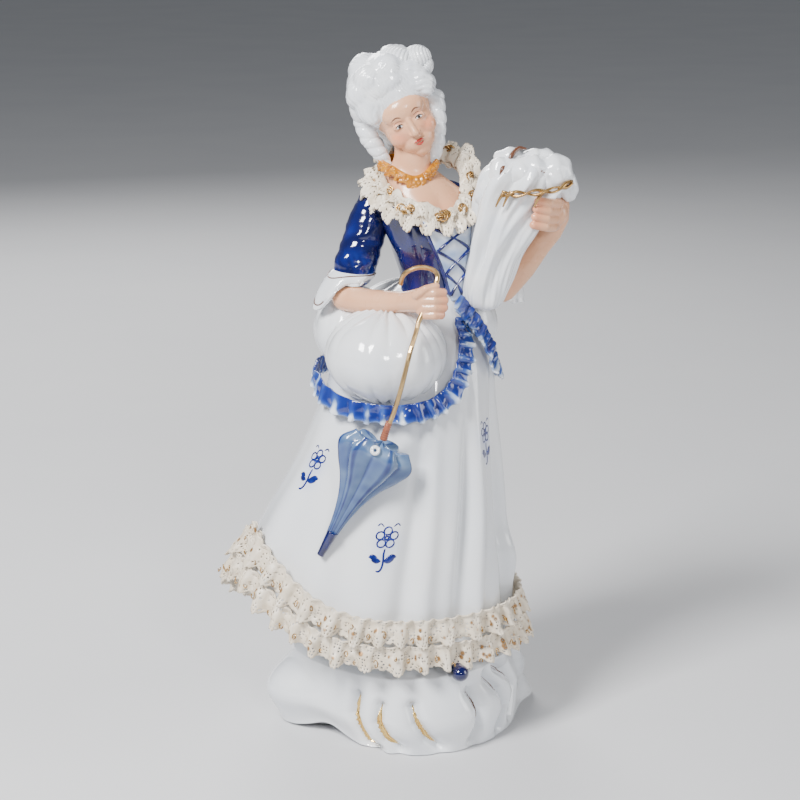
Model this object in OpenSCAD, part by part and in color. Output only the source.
// Porcelain figurine: a lady in eighteenth-century dress with a wrapped bouquet and a parasol
// that hangs by its wire handle through her pierced hand.
// Millimetres. +Z is up, the lady is seen from -Y, and "right" and "left" are her own sides.

/* [Base] */
// Height of the rock base under the skirt
base_h = 30; // [26:1:34]
// Thickness of the cast walls of the base and the skirt
wall = 3.2; // [2.6:0.1:4]
// Diameter of the vent holes that let steam out of the castings
vent_d = 3; // [2:0.5:3.5]

/* [Skirt] */
// Height of the waist above the table
waist_z = 160; // [156:1:164]
// Height of the hem above the table at the front
hem_z = 37; // [35:1:39]
// How much higher the hem swings on her right side
hem_swing = 25; // [16:1:27]
// Depth of the folds at the hem
fold_depth = 1.2; // [0.4:0.1:2]
// Number of folds round the skirt
fold_count = 10; // [7:1:12]

/* [Trim] */
// Height of each lace flounce
flounce_h = 8.5; // [7:0.5:9]
// Thickness of the fired lace
lace_t = 2.2; // [1.6:0.1:2.6]
// Width of the blue ruffles
ruffle_w = 6; // [5:0.5:7]
// Height of the necklace band
choker_h = 4.6; // [3:0.2:5]

/* [Head and hair] */
// Height of the bare head from chin to crown
head_h = 27.5; // [25:0.5:29]
// How far the head leans to her right, in degrees
head_lean = 28; // [22:1:34]
// How far the face looks down, in degrees
head_nod = 10; // [4:1:14]

/* [Parasol] */
// Diameter of the brass wire
wire_d = 1.7; // [1.4:0.1:1.9]
// Radial clearance of the wire in the pierced hand
wire_clearance = 0.06; // [0.02:0.01:0.1]
// Width of the folded canopy across its open end
canopy_w = 25; // [22:1:26]
// Thickness of the folded canopy from front to back
canopy_t = 12; // [9:1:12]
// Length of the dark ferrule at the tip
ferrule_l = 8.5; // [7:0.5:10]

/* [Hidden] */

// Facets of the free-form surfaces
around = 48;
base_around = 64;
ball_fn = 14;

// Base: radii every 24 degrees, counter-clockwise from +X, at the foot, the belly and the top
base_foot = [44, 53, 44, 38, 38, 40, 42, 43, 43.5, 36, 34.5, 41, 43, 42.5, 42];
base_belly = [43, 50, 43, 38, 38, 40, 43, 47, 49.5, 41, 38.5, 43.5, 44.5, 43.5, 42];
base_rim = [39, 42, 37, 34, 34, 34, 36, 38, 39, 38, 38, 40.5, 41.5, 41, 40];
base_top_r = 29;
// Base: [direction in degrees, lift] of the arches between its scroll feet
base_arches = [[222, 4.5], [2, 2.5], [75, 3.5], [140, 3.5]];
arch_spread = 15;

// Skirt: [centre x, centre y, half width, half depth] at even steps from the waist to the hem
skirt_rows = [
    [14, 0, 14, 10], [6.2, -2, 25.6, 22], [2.9, -2, 30.6, 28.5],
    [-0.2, -2, 36, 33], [-4.9, -2, 43, 37.5], [-8.5, -1, 50, 41]
];
skirt_steps = 10;

// Body: [height, centre x, centre y, half width, half depth]
bodice_rows = [
    [158, 14, -1, 14, 10.5], [166, 13.5, -1, 14.2, 11.2], [176, 12, -1.5, 16.3, 12.6],
    [185, 10.5, -1, 18, 12.2], [191, 9, 0, 18.5, 10.5], [196, 7.5, 1, 12, 8]
];
bust_rows = [
    [181, 12, -5, 11, 8], [187, 11.5, -4.6, 12.5, 8.6], [193, 9.5, -2.6, 12.5, 8.4],
    [197.5, 7, -0.8, 9.2, 7.2], [201, 5.4, 0, 6.7, 6.4], [206, 4.6, -0.4, 6.2, 6.1], [212, 3.6, 0, 6, 5.8]
];
body_turn = 22;

head_centre = [1.5, -0.5, 219.2];
head_turn = 6;

// Limbs: [x, y, z, radius]
right_arm = [[-8.5, 0, 188.5, 7], [-11.5, -2, 180, 6.9], [-14, -4, 172, 7.2], [-16.3, -6, 165.5, 7.2]];
right_cuff_axis = [[-17, -6.5, 163, 6.5], [-25.5, -8, 155.8, 4.4], [-10, -10, 159.5, 4.6]];
right_lower_arm = [[-17.5, -11, 156.6, 4.6], [-8, -18, 157.4, 4.2], [0.9, -24, 158.5, 3.6], [6, -28.5, 159.6, 4.4]];
fist = [[6.8, -29.5, 160, 4.9], [10.6, -30.5, 161.2, 4.8], [10.8, -31.6, 158.6, 4.3], [7, -31.8, 158, 4.2]];
left_arm = [[26, 3, 187, 7], [31, 3.5, 176, 6.8], [34, 3.5, 167, 6.4]];
left_cuff_axis = [[34.4, 3.2, 165.5, 6], [34.5, 1.5, 157, 8.4]];
left_lower_arm = [[36.5, -4, 160, 4.6], [43.5, -5, 168, 4.4], [49.2, -6, 175.5, 3.5], [53, -6.5, 181, 4]];
left_palm = [[54.3, -7.5, 185.5, 4.4], [54.6, -8, 189.5, 4.2]];

// Ruffle routes: [x, y, z] on the middle of each band
apron_route = [
    [-29, -9, 130], [-25.5, -18, 124.4], [-16, -27, 121.2], [-2, -31.5, 120.6], [10, -29.8, 122.2],
    [17, -26, 127], [20.8, -22, 135], [21.8, -18.5, 143.5], [19.8, -15, 151]
];
peplum_route = [[18.5, -13.5, 157], [24.5, -14, 149.5], [29.5, -14, 141], [32, -11, 132.5]];
back_route = [[33.5, -5, 130], [32, 14, 127], [20, 28, 125], [2, 34, 125], [-16, 27, 127], [-27, 12, 130], [-30, 0, 134]];

// Lace collar, every 36 degrees from +X: [x, y, z] on the neckline and [x, y, z] on the outer edge
collar_line = [
    [21.5, -1, 193, 28, 0, 193.5], [20, 6, 199, 25.5, 7.5, 205], [13, 10, 201, 15, 15, 206],
    [5, 10.5, 201, 2, 16, 204], [-2.5, 7, 199, -9, 11, 200], [-6, 0.5, 196.5, -14.2, -1, 193.5],
    [-3.5, -7, 191, -9.5, -11.5, 187], [4.5, -13, 186.5, 2, -17.5, 182], [14.5, -13.5, 185, 17, -18.5, 180.5],
    [20.5, -9, 187.5, 26, -12.5, 184.5]
];

// Bouquet: [x, y, z, half width, half depth] up the wrap
wrap_rows = [
    [30, -10, 153.5, 4.6, 4.2], [31.5, -10.5, 162, 6.8, 6], [34.2, -11.5, 174, 9.4, 8],
    [38, -12, 186, 12.8, 9], [41.6, -12, 197, 15.8, 9.5]
];

// Parasol: the straight stretch of wire in the hand, its crook, its shaft and the canopy's axis
grip_middle = [9.3, -31.5, 160];
grip_angles = [0, 35.8, 47.1];
grip_half = 8;
crook_route = [
    [12.3, -28.25, 166.16], [12.7, -27.5, 167.9], [11.9, -26.9, 169.6], [9.6, -26.6, 170.7],
    [6.2, -26.6, 170.9], [3, -26.4, 169.8], [0.9, -25.4, 167.6], [0.2, -23.6, 164.6]
];
shaft_route = [
    [6.3, -34.75, 153.84], [5.6, -36.6, 151.4], [4.6, -39.4, 148.6], [3.4, -42, 145], [1.9, -43, 139],
    [0.2, -43, 132], [-1.8, -42.3, 125], [-4.2, -41, 118.4]
];
collar_axis = [[-3.9, -41.2, 119.3], [-6, -39.7, 112.6]];
canopy_top = [-6.4, -39.2, 111.4];
canopy_tip = [-23.8, -36.4, 79];
canopy_pleats = 6;

function mix(a, b, t) = a + (b - a) * t;
function ease(t) = t * t * (3 - 2 * t);
function clamp(v, low, high) = max(low, min(high, v));

// Catmull-Rom value of the rows at t from 0 to 1
function spline(rows, t) =
    let (n = len(rows) - 1, s = clamp(t, 0, 1) * n, i = min(floor(s), n - 1), f = s - i,
         p1 = rows[i], p2 = rows[i + 1],
         p0 = i > 0 ? rows[i - 1] : 2 * p1 - p2,
         p3 = i + 2 <= n ? rows[i + 2] : 2 * p2 - p1)
    0.5 * (2 * p1 + (p2 - p0) * f + (2 * p0 - 5 * p1 + 4 * p2 - p3) * f * f
        + (3 * p1 - p0 - 3 * p2 + p3) * f * f * f);

// The same round a closed list, for an angle in degrees
function ring_spline(values, angle) =
    let (n = len(values), s = (angle % 360 + 360) % 360 / 360 * n, i = floor(s), f = s - i,
         p0 = values[(i + n - 1) % n], p1 = values[i % n], p2 = values[(i + 1) % n], p3 = values[(i + 2) % n])
    0.5 * (2 * p1 + (p2 - p0) * f + (2 * p0 - 5 * p1 + 4 * p2 - p3) * f * f
        + (3 * p1 - p0 - 3 * p2 + p3) * f * f * f);

// A rounded bump of height 1 at angle middle
function bump(angle, middle, spread) = exp(-pow(((angle - middle + 540) % 360 - 180) / spread, 2));

function middle_of(ring) = [for (k = [0:2]) [for (p = ring) p[k]] * [for (p = ring) 1] / len(ring)];

// Closed solid through rings of points, lowest ring first, each counter-clockwise seen from above
module loft(rings) {
    n = len(rings[0]);
    m = len(rings);
    points = [for (r = rings) each r, middle_of(rings[0]), middle_of(rings[m - 1])];
    walls = [for (i = [0:m - 2]) for (j = [0:n - 1]) let (k = (j + 1) % n)
        each [[i * n + j, (i + 1) * n + j, (i + 1) * n + k], [i * n + j, (i + 1) * n + k, i * n + k]]];
    caps = [for (j = [0:n - 1]) let (k = (j + 1) % n)
        each [[m * n, j, k], [m * n + 1, (m - 1) * n + k, (m - 1) * n + j]]];
    polyhedron(points = points, faces = concat(walls, caps), convexity = 8);
}

// Free-form booleans are worked out on facets, as one mesh
module carved() {
    resize([0, 0, 0]) children();
}

module egg(centre, radii, fn = ball_fn) {
    translate(centre) scale(radii) sphere(r = 1, $fn = fn);
}

// Rounded limb through [x, y, z, radius] stations
module limb(stations, grow = 0) {
    for (i = [0:len(stations) - 2])
        hull()
            for (s = [stations[i], stations[i + 1]])
                translate([s[0], s[1], s[2]]) sphere(r = s[3] + grow, $fn = ball_fn);
}

// Body section rows: [height, centre x, centre y, half width, half depth], turned to face her left
module torso(rows, steps, grow = 0) {
    loft([for (i = [0:steps]) let (r = spline(rows, i / steps))
        [for (j = [0:around / 2 - 1]) let (a = j * 720 / around, x = (r[3] + grow) * cos(a), y = (r[4] + grow) * sin(a))
            [r[1] + x * cos(body_turn) - y * sin(body_turn), r[2] + x * sin(body_turn) + y * cos(body_turn), r[0]]]]);
}

// Tube along a route, with one radius or one per end
function unit(v) = v / norm(v);
module tube(route, r, steps = 16, sides = 8) {
    loft([for (i = [0:steps])
        let (t = i / steps, p = spline(route, t), d = unit(spline(route, t + 0.01) - spline(route, t - 0.01)),
             u = unit(cross([0, 1, 0.01], d)), v = cross(d, u))
        [for (j = [0:sides - 1]) p + (u * cos(j * 360 / sides) + v * sin(j * 360 / sides)) * r]]);
}

// Band along a route: width lies along up, which leans out by flare, and its lower edge waves
module ruffle(route, width, thickness, waves, depth, hub, steps = 40) {
    function out(p) = unit([p[0] - hub[0], p[1] - hub[1], 0]);
    loft([for (i = [0:steps])
        let (t = i / steps, p = spline(route, t), o = out(p), d = unit(spline(route, t + 0.01) - spline(route, t - 0.01)),
             w = unit(cross(d, o)), turn = w[2] > 0 ? 1 : -1, wave = depth * sin(t * waves * 360),
             section = [[-0.5, -0.2], [0.5, -0.2], [0.5, 0.4], [0.1, 0.75], [-0.5, 1.4]])
        [for (k = [0:4]) let (q = section[turn > 0 ? 4 - k : k])
            p + w * (turn * q[0] * width) + o * (q[1] * thickness + (q[1] > 1 ? wave : 0))]]);
}

// ---- base ----

// Radius of the base at a direction and height, from the foot up to the rim
function base_r(a, z) = z < 11
    ? mix(ring_spline(base_foot, a), ring_spline(base_belly, a), ease(z / 11))
    : mix(ring_spline(base_belly, a), ring_spline(base_rim, a), ease((z - 11) / (base_h - 14)));
function base_lift(a) = max([for (k = base_arches) k[1] * bump(a, k[0], arch_spread)]);
// The shell front carries raised swirls
function swirl(a, z) = 0.9 * bump(a, 288, 44) * sin(180 * z / base_h) * cos((a + 1.3 * z) * 20);
function base_ring(share, z, lift, inset = 0) =
    [for (j = [0:base_around - 1]) let (a = j * 360 / base_around,
        r = base_r(a, z) * share - inset + (inset == 0 ? swirl(a, z) : 0))
        [r * cos(a), r * sin(a), z + lift * base_lift(a)]];

module base_outer() {
    loft(concat(
        [base_ring(0.72, 0, 0), base_ring(0.97, 0, 1), base_ring(1, 1.4, 1)],
        [for (k = [0.16, 0.36, 0.56, 0.74, 0.9]) base_ring(1, k * base_h, 1 - k)],
        [[for (j = [0:base_around - 1]) let (a = j * 360 / base_around)
            [base_top_r * cos(a), base_top_r * sin(a), base_h]]]));
}

module base() color("white") carved() difference() {
    base_outer();
    loft([for (k = [[0.66, wall, 1], [0.88, 8, 3], [0.86, base_h * 0.62, 3], [0.55, base_h - wall, 1]])
        [for (j = [0:23]) let (a = j * 15, r = base_r(a, k[1]) * k[0] - k[2]) [r * cos(a), r * sin(a), k[1]]]]);
    translate([12, 6, -1]) cylinder(d = vent_d, h = base_h + 2, $fn = 20);
}

module shoe() color("navy") carved() difference() {
    hull() {
        egg([20.9, -40.6, 30.2], [3, 3.4, 3]);
        egg([19, -33, 32], [3.4, 4, 2]);
    }
    skirt_outer();
    base_outer();
}

// ---- skirt ----

function hem_height(a) = hem_z + hem_swing * bump(a, 200, 38);
function skirt_point(a, t, inset = 0) =
    let (r = spline(skirt_rows, t),
         fold = fold_depth * t * cos(a * fold_count + 40) - inset,
         x = r[0] + (r[2] + fold) * cos(a), y = r[1] + (r[3] + fold) * sin(a))
    [x, y, mix(waist_z, hem_height(a), t)];

module skirt_outer() {
    loft(concat(
        [[for (j = [0:around - 1]) let (a = j * 360 / around) [28 * cos(a), 28 * sin(a), base_h]]],
        [[for (j = [0:around - 1]) let (a = j * 360 / around, p = skirt_point(a, 1)) [p[0] * 0.9, p[1] * 0.9, p[2] - 0.5]]],
        [for (i = [0:skirt_steps]) [for (j = [0:around - 1]) skirt_point(j * 360 / around, 1 - i / skirt_steps)]]));
}

module skirt() color("white") carved() difference() {
    skirt_outer();
    loft([for (i = [0:8]) let (t = mix(0.93, 0.1, i / 8))
        [for (j = [0:around / 2 - 1]) let (p = skirt_point(j * 720 / around, t, wall)) [p[0], p[1], p[2] + (t > 0.92 ? 2 : 0)]]]);
    translate([12, 6, base_h - 1]) cylinder(d = vent_d, h = 30, $fn = 20);
}

// ---- lace flounces ----

// Point on the skirt at a height above its hem, pushed out by off
function hem_point(a, above, off) =
    let (t = 1 - above / (waist_z - hem_height(a)), p = skirt_point(a, t), r = spline(skirt_rows, t),
         o = unit([cos(a) / r[2], sin(a) / r[3], 0]))
    [p[0] + o[0] * off, p[1] + o[1] * off, p[2]];

module flounce(above, height, pleats) {
    loft([for (k = [[0, 1, 0.35], [0.1 * height, 1.8, 0.4], [height, 0.6, 0]])
        [for (j = [0:71]) let (a = j * 5)
            hem_point(a, above + k[0], lace_t * (k[1] + k[2] * sin(a * pleats)))]]);
}

module lower_flounce() color("ivory") carved() difference() {
    flounce(-5.2, flounce_h, 24);
    skirt_outer();
    base_outer();
    limb([[20.9, -40.6, 30.2, 3.6], [19, -33, 32, 4]]);
}

module upper_flounce() color("ivory") carved() difference() {
    flounce(4.2, flounce_h, 24);
    skirt_outer();
}

// Angles round the hem of the gilded curls, upper row and lower row
module flounce_curls() color("goldenrod") {
    for (a = [196:20:336]) translate(hem_point(a, 7, lace_t * 1.25 + 1.3)) rotate([90, 0, a + 90]) curl(1.7);
    for (a = [206:20:336]) translate(hem_point(a, -1.6, lace_t * 1.9 + 1.9)) rotate([90, 0, a + 90]) curl(1.8);
}

// A small rolled rosette
module curl(r) {
    rotate_extrude($fn = 24) translate([r * 0.62, 0]) circle(r = r * 0.36, $fn = 16);
}

// ---- overskirt ----

module puff_shape() {
    egg([-4.8, -19, 138.9], [23.4, 21, 16.8], 24);
}

module hip_cut() {
    skirt_outer();
    torso(bodice_rows, 6);
    limb(right_lower_arm, 0.1);
    limb(fist, 0.1);
    hull() limb(right_cuff_axis, 0.1);
    hull() limb(left_cuff_axis, 0.1);
}

module apron_puff() color("white") carved() difference() {
    puff_shape();
    hip_cut();
}

module right_pannier_shape() egg([-16.5, 2, 144], [14, 18, 15], 20);
module left_pannier_shape() egg([21, 1, 146], [13.8, 15, 13.5], 20);

module right_pannier() color("white") carved() difference() {
    right_pannier_shape();
    hip_cut();
    puff_shape();
}

module left_pannier() color("white") carved() difference() {
    left_pannier_shape();
    hip_cut();
    puff_shape();
    wrap_shape();
}

module bustle() color("white") carved() difference() {
    egg([3, 17, 143], [21, 17, 16], 20);
    hip_cut();
    puff_shape();
    right_pannier_shape();
    left_pannier_shape();
}

module hips() {
    skirt_outer();
    puff_shape();
    right_pannier_shape();
    left_pannier_shape();
    egg([3, 17, 143], [21, 17, 16], 20);
    torso(bodice_rows, 6);
}

module apron_ruffle() color("royalblue") carved() difference() {
    ruffle(apron_route, ruffle_w, 2.4, 15, 0.5, [0, 0]);
    hips();
    limb(fist, 0.1);
}

module peplum_ruffle() color("mediumblue") carved() difference() {
    ruffle(peplum_route, ruffle_w, 2.4, 6, 0.4, [8, 0], 20);
    hips();
    wrap_shape();
    ruffle(apron_route, ruffle_w, 2.4, 15, 0.5, [0, 0]);
}

module back_ruffle() color("royalblue") carved() difference() {
    ruffle(back_route, ruffle_w, 2.4, 16, 0.5, [2, 0]);
    hips();
    ruffle(apron_route, ruffle_w, 2.4, 15, 0.5, [0, 0]);
    ruffle(peplum_route, ruffle_w, 2.4, 6, 0.4, [8, 0], 20);
}

// ---- bodice ----

module neckline() egg([14.5, -15, 195.5], [12, 9, 11.5]);

module bodice_shape() difference() {
    torso(bodice_rows, 10);
    torso(bust_rows, 12);
    neckline();
}

module bodice() color("darkblue") carved() difference() {
    bodice_shape();
    skirt_outer();
    stomacher_shape();
}

// A curved panel on the front of the bodice, wide at the top and pointed at the waist
module stomacher_shape() intersection() {
    torso(bodice_rows, 10, 0.9);
    translate([14.5, -14, 171]) rotate([90, 0, body_turn]) linear_extrude(height = 24, center = true)
        polygon([[-1.8, -14], [1.8, -14], [7.8, 15], [-7.8, 15]]);
    translate([20, -19, 171]) cube([30, 22, 40], center = true);
}

module stomacher() color("lightsteelblue") carved() difference() {
    stomacher_shape();
    torso(bust_rows, 12);
    neckline();
    skirt_outer();
    puff_shape();
    wrap_shape();
    limb(fist, 0.1);
}

// Three crossed cords on the stomacher
module lacing() color("navy") carved() difference() {
    intersection() {
        difference() {
            torso(bodice_rows, 10, 1.7);
            torso(bodice_rows, 10, 0.9);
        }
        translate([14.5, -14, 171]) rotate([90, 0, body_turn])
            for (k = [0:2]) for (s = [-1, 1])
                translate([0, k * 8 - 6.5]) rotate(s * (36 - k * 3))
                    cube([mix(10, 16, k / 2), 1.3, 30], center = true);
        translate([20, -19, 171]) cube([30, 22, 40], center = true);
    }
    wrap_shape();
    neckline();
    puff_shape();
    collar_shape();
}

// ---- neck and head ----

module bust() color("peachpuff") torso(bust_rows, 12);

module head_frame() {
    translate(head_centre) rotate([0, -head_lean, 0]) rotate([head_nod, 0, head_turn]) children();
}

module head_shape() head_frame() {
    egg([0, 1.6, head_h * 0.1], [head_h * 0.37, head_h * 0.41, head_h * 0.4], 20);
    hull() {
        egg([0, -1.5, 0], [head_h * 0.34, head_h * 0.33, head_h * 0.28], 20);
        egg([0, -4.6, -head_h * 0.37], [head_h * 0.15, head_h * 0.14, head_h * 0.13]);
    }
    hull() {
        egg([0, -9.6, 0], [1.2, 1, 1]);
        egg([0, -11.6, -4.2], [1.7, 1.6, 1.3]);
    }
}

module head() color("peachpuff") carved() difference() {
    head_shape();
    torso(bust_rows, 12);
}

module wig_shape() head_frame() {
    egg([-0.3, 3.5, 7.5], [15.4, 13.5, 13], 20);
    egg([-0.5, 3.8, 15], [12.8, 11.5, 9.2]);
    egg([0, 7, -3], [11.5, 8.5, 10]);
}

module face_window() head_frame() egg([0, -13.5, -5.4], [10, 11.5, 13.6], 20);

module wig() color("white") carved() difference() {
    wig_shape();
    head_shape();
    face_window();
    torso(bust_rows, 12);
}

module right_curls_shape() limb([[-12.6, 0.5, 217, 3.6], [-10.4, -0.6, 211.4, 3.5], [-7, -1, 206.6, 3], [-4.6, -1.4, 202.6, 2.2]]);
module left_ringlet_shape() limb([[12, 1, 225, 3.6], [12.8, 0.6, 217.5, 3.4], [12.6, 0, 210, 3.1], [11.2, -0.4, 203.5, 2.6]]);

module right_curls() color("white") carved() difference() {
    right_curls_shape();
    head_shape();
    wig_shape();
    torso(bust_rows, 12);
}

module left_ringlet() color("white") carved() difference() {
    left_ringlet_shape();
    head_shape();
    wig_shape();
    torso(bust_rows, 12);
}

module nape_ringlets() color("white") carved() difference() {
    for (x = [-4, 2]) limb([[x, 10, 217, 3.4], [x + 1.5, 12.4, 208, 3.2], [x + 3, 14.6, 201, 2.8]]);
    head_shape();
    wig_shape();
    torso(bust_rows, 12);
    torso(bodice_rows, 10);
    collar_shape();
}

module hair_bow() color("white") carved() difference() {
    union() {
        egg([-1, 0.5, 239.2], [6.4, 6, 4.2]);
        egg([6.3, 0.5, 239.4], [5, 4.6, 4.3]);
        egg([9, 0.3, 236], [2.6, 3.6, 3.4]);
    }
    wig_shape();
}

module choker_ring(r) {
    translate([4.7, -0.5, 199]) rotate([15, 3, 0]) rotate_extrude($fn = 24)
        translate([r, 0]) scale([0.55, 1]) circle(d = choker_h, $fn = 8);
}

module choker() color("orange") carved() difference() {
    union() {
        choker_ring(7.4);
        egg([6.4, -8.9, 195.2], [3.2, 2, 2.4]);
    }
    torso(bust_rows, 12);
    torso(bodice_rows, 10);
    collar_shape();
    right_curls_shape();
    left_ringlet_shape();
}

// ---- lace collar ----

// A point of the collar's strip: share 0 on the neckline, 1 on the outer edge
function collar_point(a, share, up) =
    let (r = ring_spline(collar_line, a), wave = 0.8 * share * sin(a * 12))
    [mix(r[0], r[3], share) + wave * cos(a), mix(r[1], r[4], share) + wave * sin(a), mix(r[2], r[5], share) + up];

module collar_shape() {
    loft([for (k = [[0, -2.2], [0.95, -1.6], [1, 0.6], [0.5, 1.4], [0, 0.6]])
        [for (j = [0:35]) collar_point(j * 10, k[0], k[1])]]);
}

module lace_collar() color("ivory") carved() difference() {
    collar_shape();
    torso(bodice_rows, 10);
    torso(bust_rows, 12);
    stomacher_shape();
    limb(right_arm, 0.05);
    limb(left_arm, 0.05);
    wrap_shape();
    neckline();
}

module collar_curls() color("goldenrod") {
    for (a = [196, 226, 256, 280, 304, 326])
        translate(collar_point(a, 0.35, 2)) rotate([60, 0, a + 90]) curl(1.7);
}

// ---- arms ----

module right_sleeve() color("darkblue") carved() difference() {
    limb(right_arm);
    torso(bodice_rows, 10);
    torso(bust_rows, 12);
    hull() limb(right_cuff_axis);
}

module right_cuff() color("white") carved() difference() {
    hull() limb(right_cuff_axis);
    limb(right_lower_arm, 0.02);
}

module grip_frame() {
    translate(grip_middle) rotate([0, 0, grip_angles[2]]) rotate([0, grip_angles[1], 0]) children();
}

module right_forearm() color("peachpuff") difference() {
    carved() difference() {
        union() {
            limb(right_lower_arm);
            limb(fist);
        }
        torso(bodice_rows, 10);
    }
    grip_frame() cylinder(d = wire_d + 2 * wire_clearance, h = 40, center = true, $fn = 32);
}

module left_sleeve() color("darkblue") carved() difference() {
    limb(left_arm);
    torso(bodice_rows, 10);
    torso(bust_rows, 12);
    hull() limb(left_cuff_axis);
    wrap_shape();
}

module left_cuff() color("white") carved() difference() {
    hull() limb(left_cuff_axis);
    limb(left_lower_arm, 0.02);
    wrap_shape();
    skirt_outer();
    torso(bodice_rows, 10, 0.02);
}

module left_forearm() color("peachpuff") carved() difference() {
    union() {
        limb(left_lower_arm);
        limb(left_palm);
        for (k = [0:3])
            limb([[55.4, -9.5, 191 - k * 3, 2], [52.8, -15.5, 191 - k * 2.9, 2], [48, -20.4, 190.6 - k * 2.8, 1.7]]);
    }
    wrap_shape();
}

// ---- bouquet ----

module wrap_shape() {
    loft([for (i = [0:8]) let (r = spline(wrap_rows, i / 8))
        [for (j = [0:31]) let (a = j * 360 / 32, f = 1 + 0.04 * cos(a * 8), x = r[3] * cos(a) * f, y = r[4] * sin(a) * f)
            [r[0] + x, r[1] + y, r[2]]]]);
}

module band_shape() tube([[35, -21.6, 195], [42, -22.4, 196], [50, -20.4, 196.4], [57.5, -13.5, 197]], 1.2, 8);

module bouquet_wrap() color("white") carved() difference() {
    wrap_shape();
    skirt_outer();
    torso(bodice_rows, 10);
    puff_shape();
}

module bouquet_band() color("tan") carved() difference() {
    band_shape();
    wrap_shape();
}

module bouquet_blooms() color("white") carved() difference() {
    union() {
        egg([32, -11, 199], [6.6, 8, 5.4]);
        egg([39.5, -12, 202.6], [7.6, 8, 6]);
        egg([50, -12, 201.5], [8.4, 8, 5.4]);
        egg([42, -9, 206.6], [4, 3, 2]);
    }
    wrap_shape();
    collar_shape();
    band_shape();
}

// ---- parasol ----

module parasol_wire() color("goldenrod") {
    grip_frame() cylinder(d = wire_d, h = 2 * grip_half, center = true, $fn = 32);
    tube(crook_route, wire_d * 0.49);
    tube(shaft_route, wire_d * 0.49);
}

module parasol_collar() color("indianred") carved() difference() {
    hull() {
        translate(collar_axis[0]) sphere(d = wire_d + 0.9, $fn = 16);
        translate(collar_axis[1]) sphere(d = wire_d + 2.4, $fn = 16);
    }
    tube(shaft_route, wire_d * 0.49);
    canopy_shape();
}

function canopy_axis(t) = canopy_top + (canopy_tip - canopy_top) * t;
// Share of the full width at t from the open end to the tip
function canopy_share(t) = spline([0.8, 1, 0.82, 0.6, 0.42, 0.29, 0.2, 0.14], t);

module canopy_shape() {
    d = unit(canopy_tip - canopy_top);
    u = unit(cross([0, 1, 0], d));
    v = cross(d, u);
    loft([for (i = [0:9]) let (t = i / 9, p = canopy_axis(t))
        [for (j = [0:23]) let (a = j * 15, f = canopy_share(t) * (1 + 0.07 * cos(a * canopy_pleats)))
            p + u * (canopy_w / 2 * f * cos(a)) + v * (canopy_t / 2 * f * sin(a))]]);
}

module parasol_canopy() color("cornflowerblue") carved() canopy_shape();

module parasol_ferrule() color("midnightblue") carved() difference() {
    hull() {
        translate(canopy_tip) sphere(r = 1.9, $fn = 16);
        translate(canopy_tip + unit(canopy_tip - canopy_top) * (ferrule_l - 1.5)) sphere(r = 1.5, $fn = 16);
    }
    canopy_shape();
}

base();
skirt();
shoe();
lower_flounce();
upper_flounce();
flounce_curls();
apron_puff();
right_pannier();
left_pannier();
bustle();
apron_ruffle();
peplum_ruffle();
back_ruffle();
bodice();
stomacher();
lacing();
bust();
head();
wig();
right_curls();
left_ringlet();
nape_ringlets();
hair_bow();
choker();
lace_collar();
collar_curls();
right_sleeve();
right_cuff();
right_forearm();
left_sleeve();
left_cuff();
left_forearm();
bouquet_wrap();
bouquet_blooms();
bouquet_band();
parasol_wire();
parasol_collar();
parasol_canopy();
parasol_ferrule();
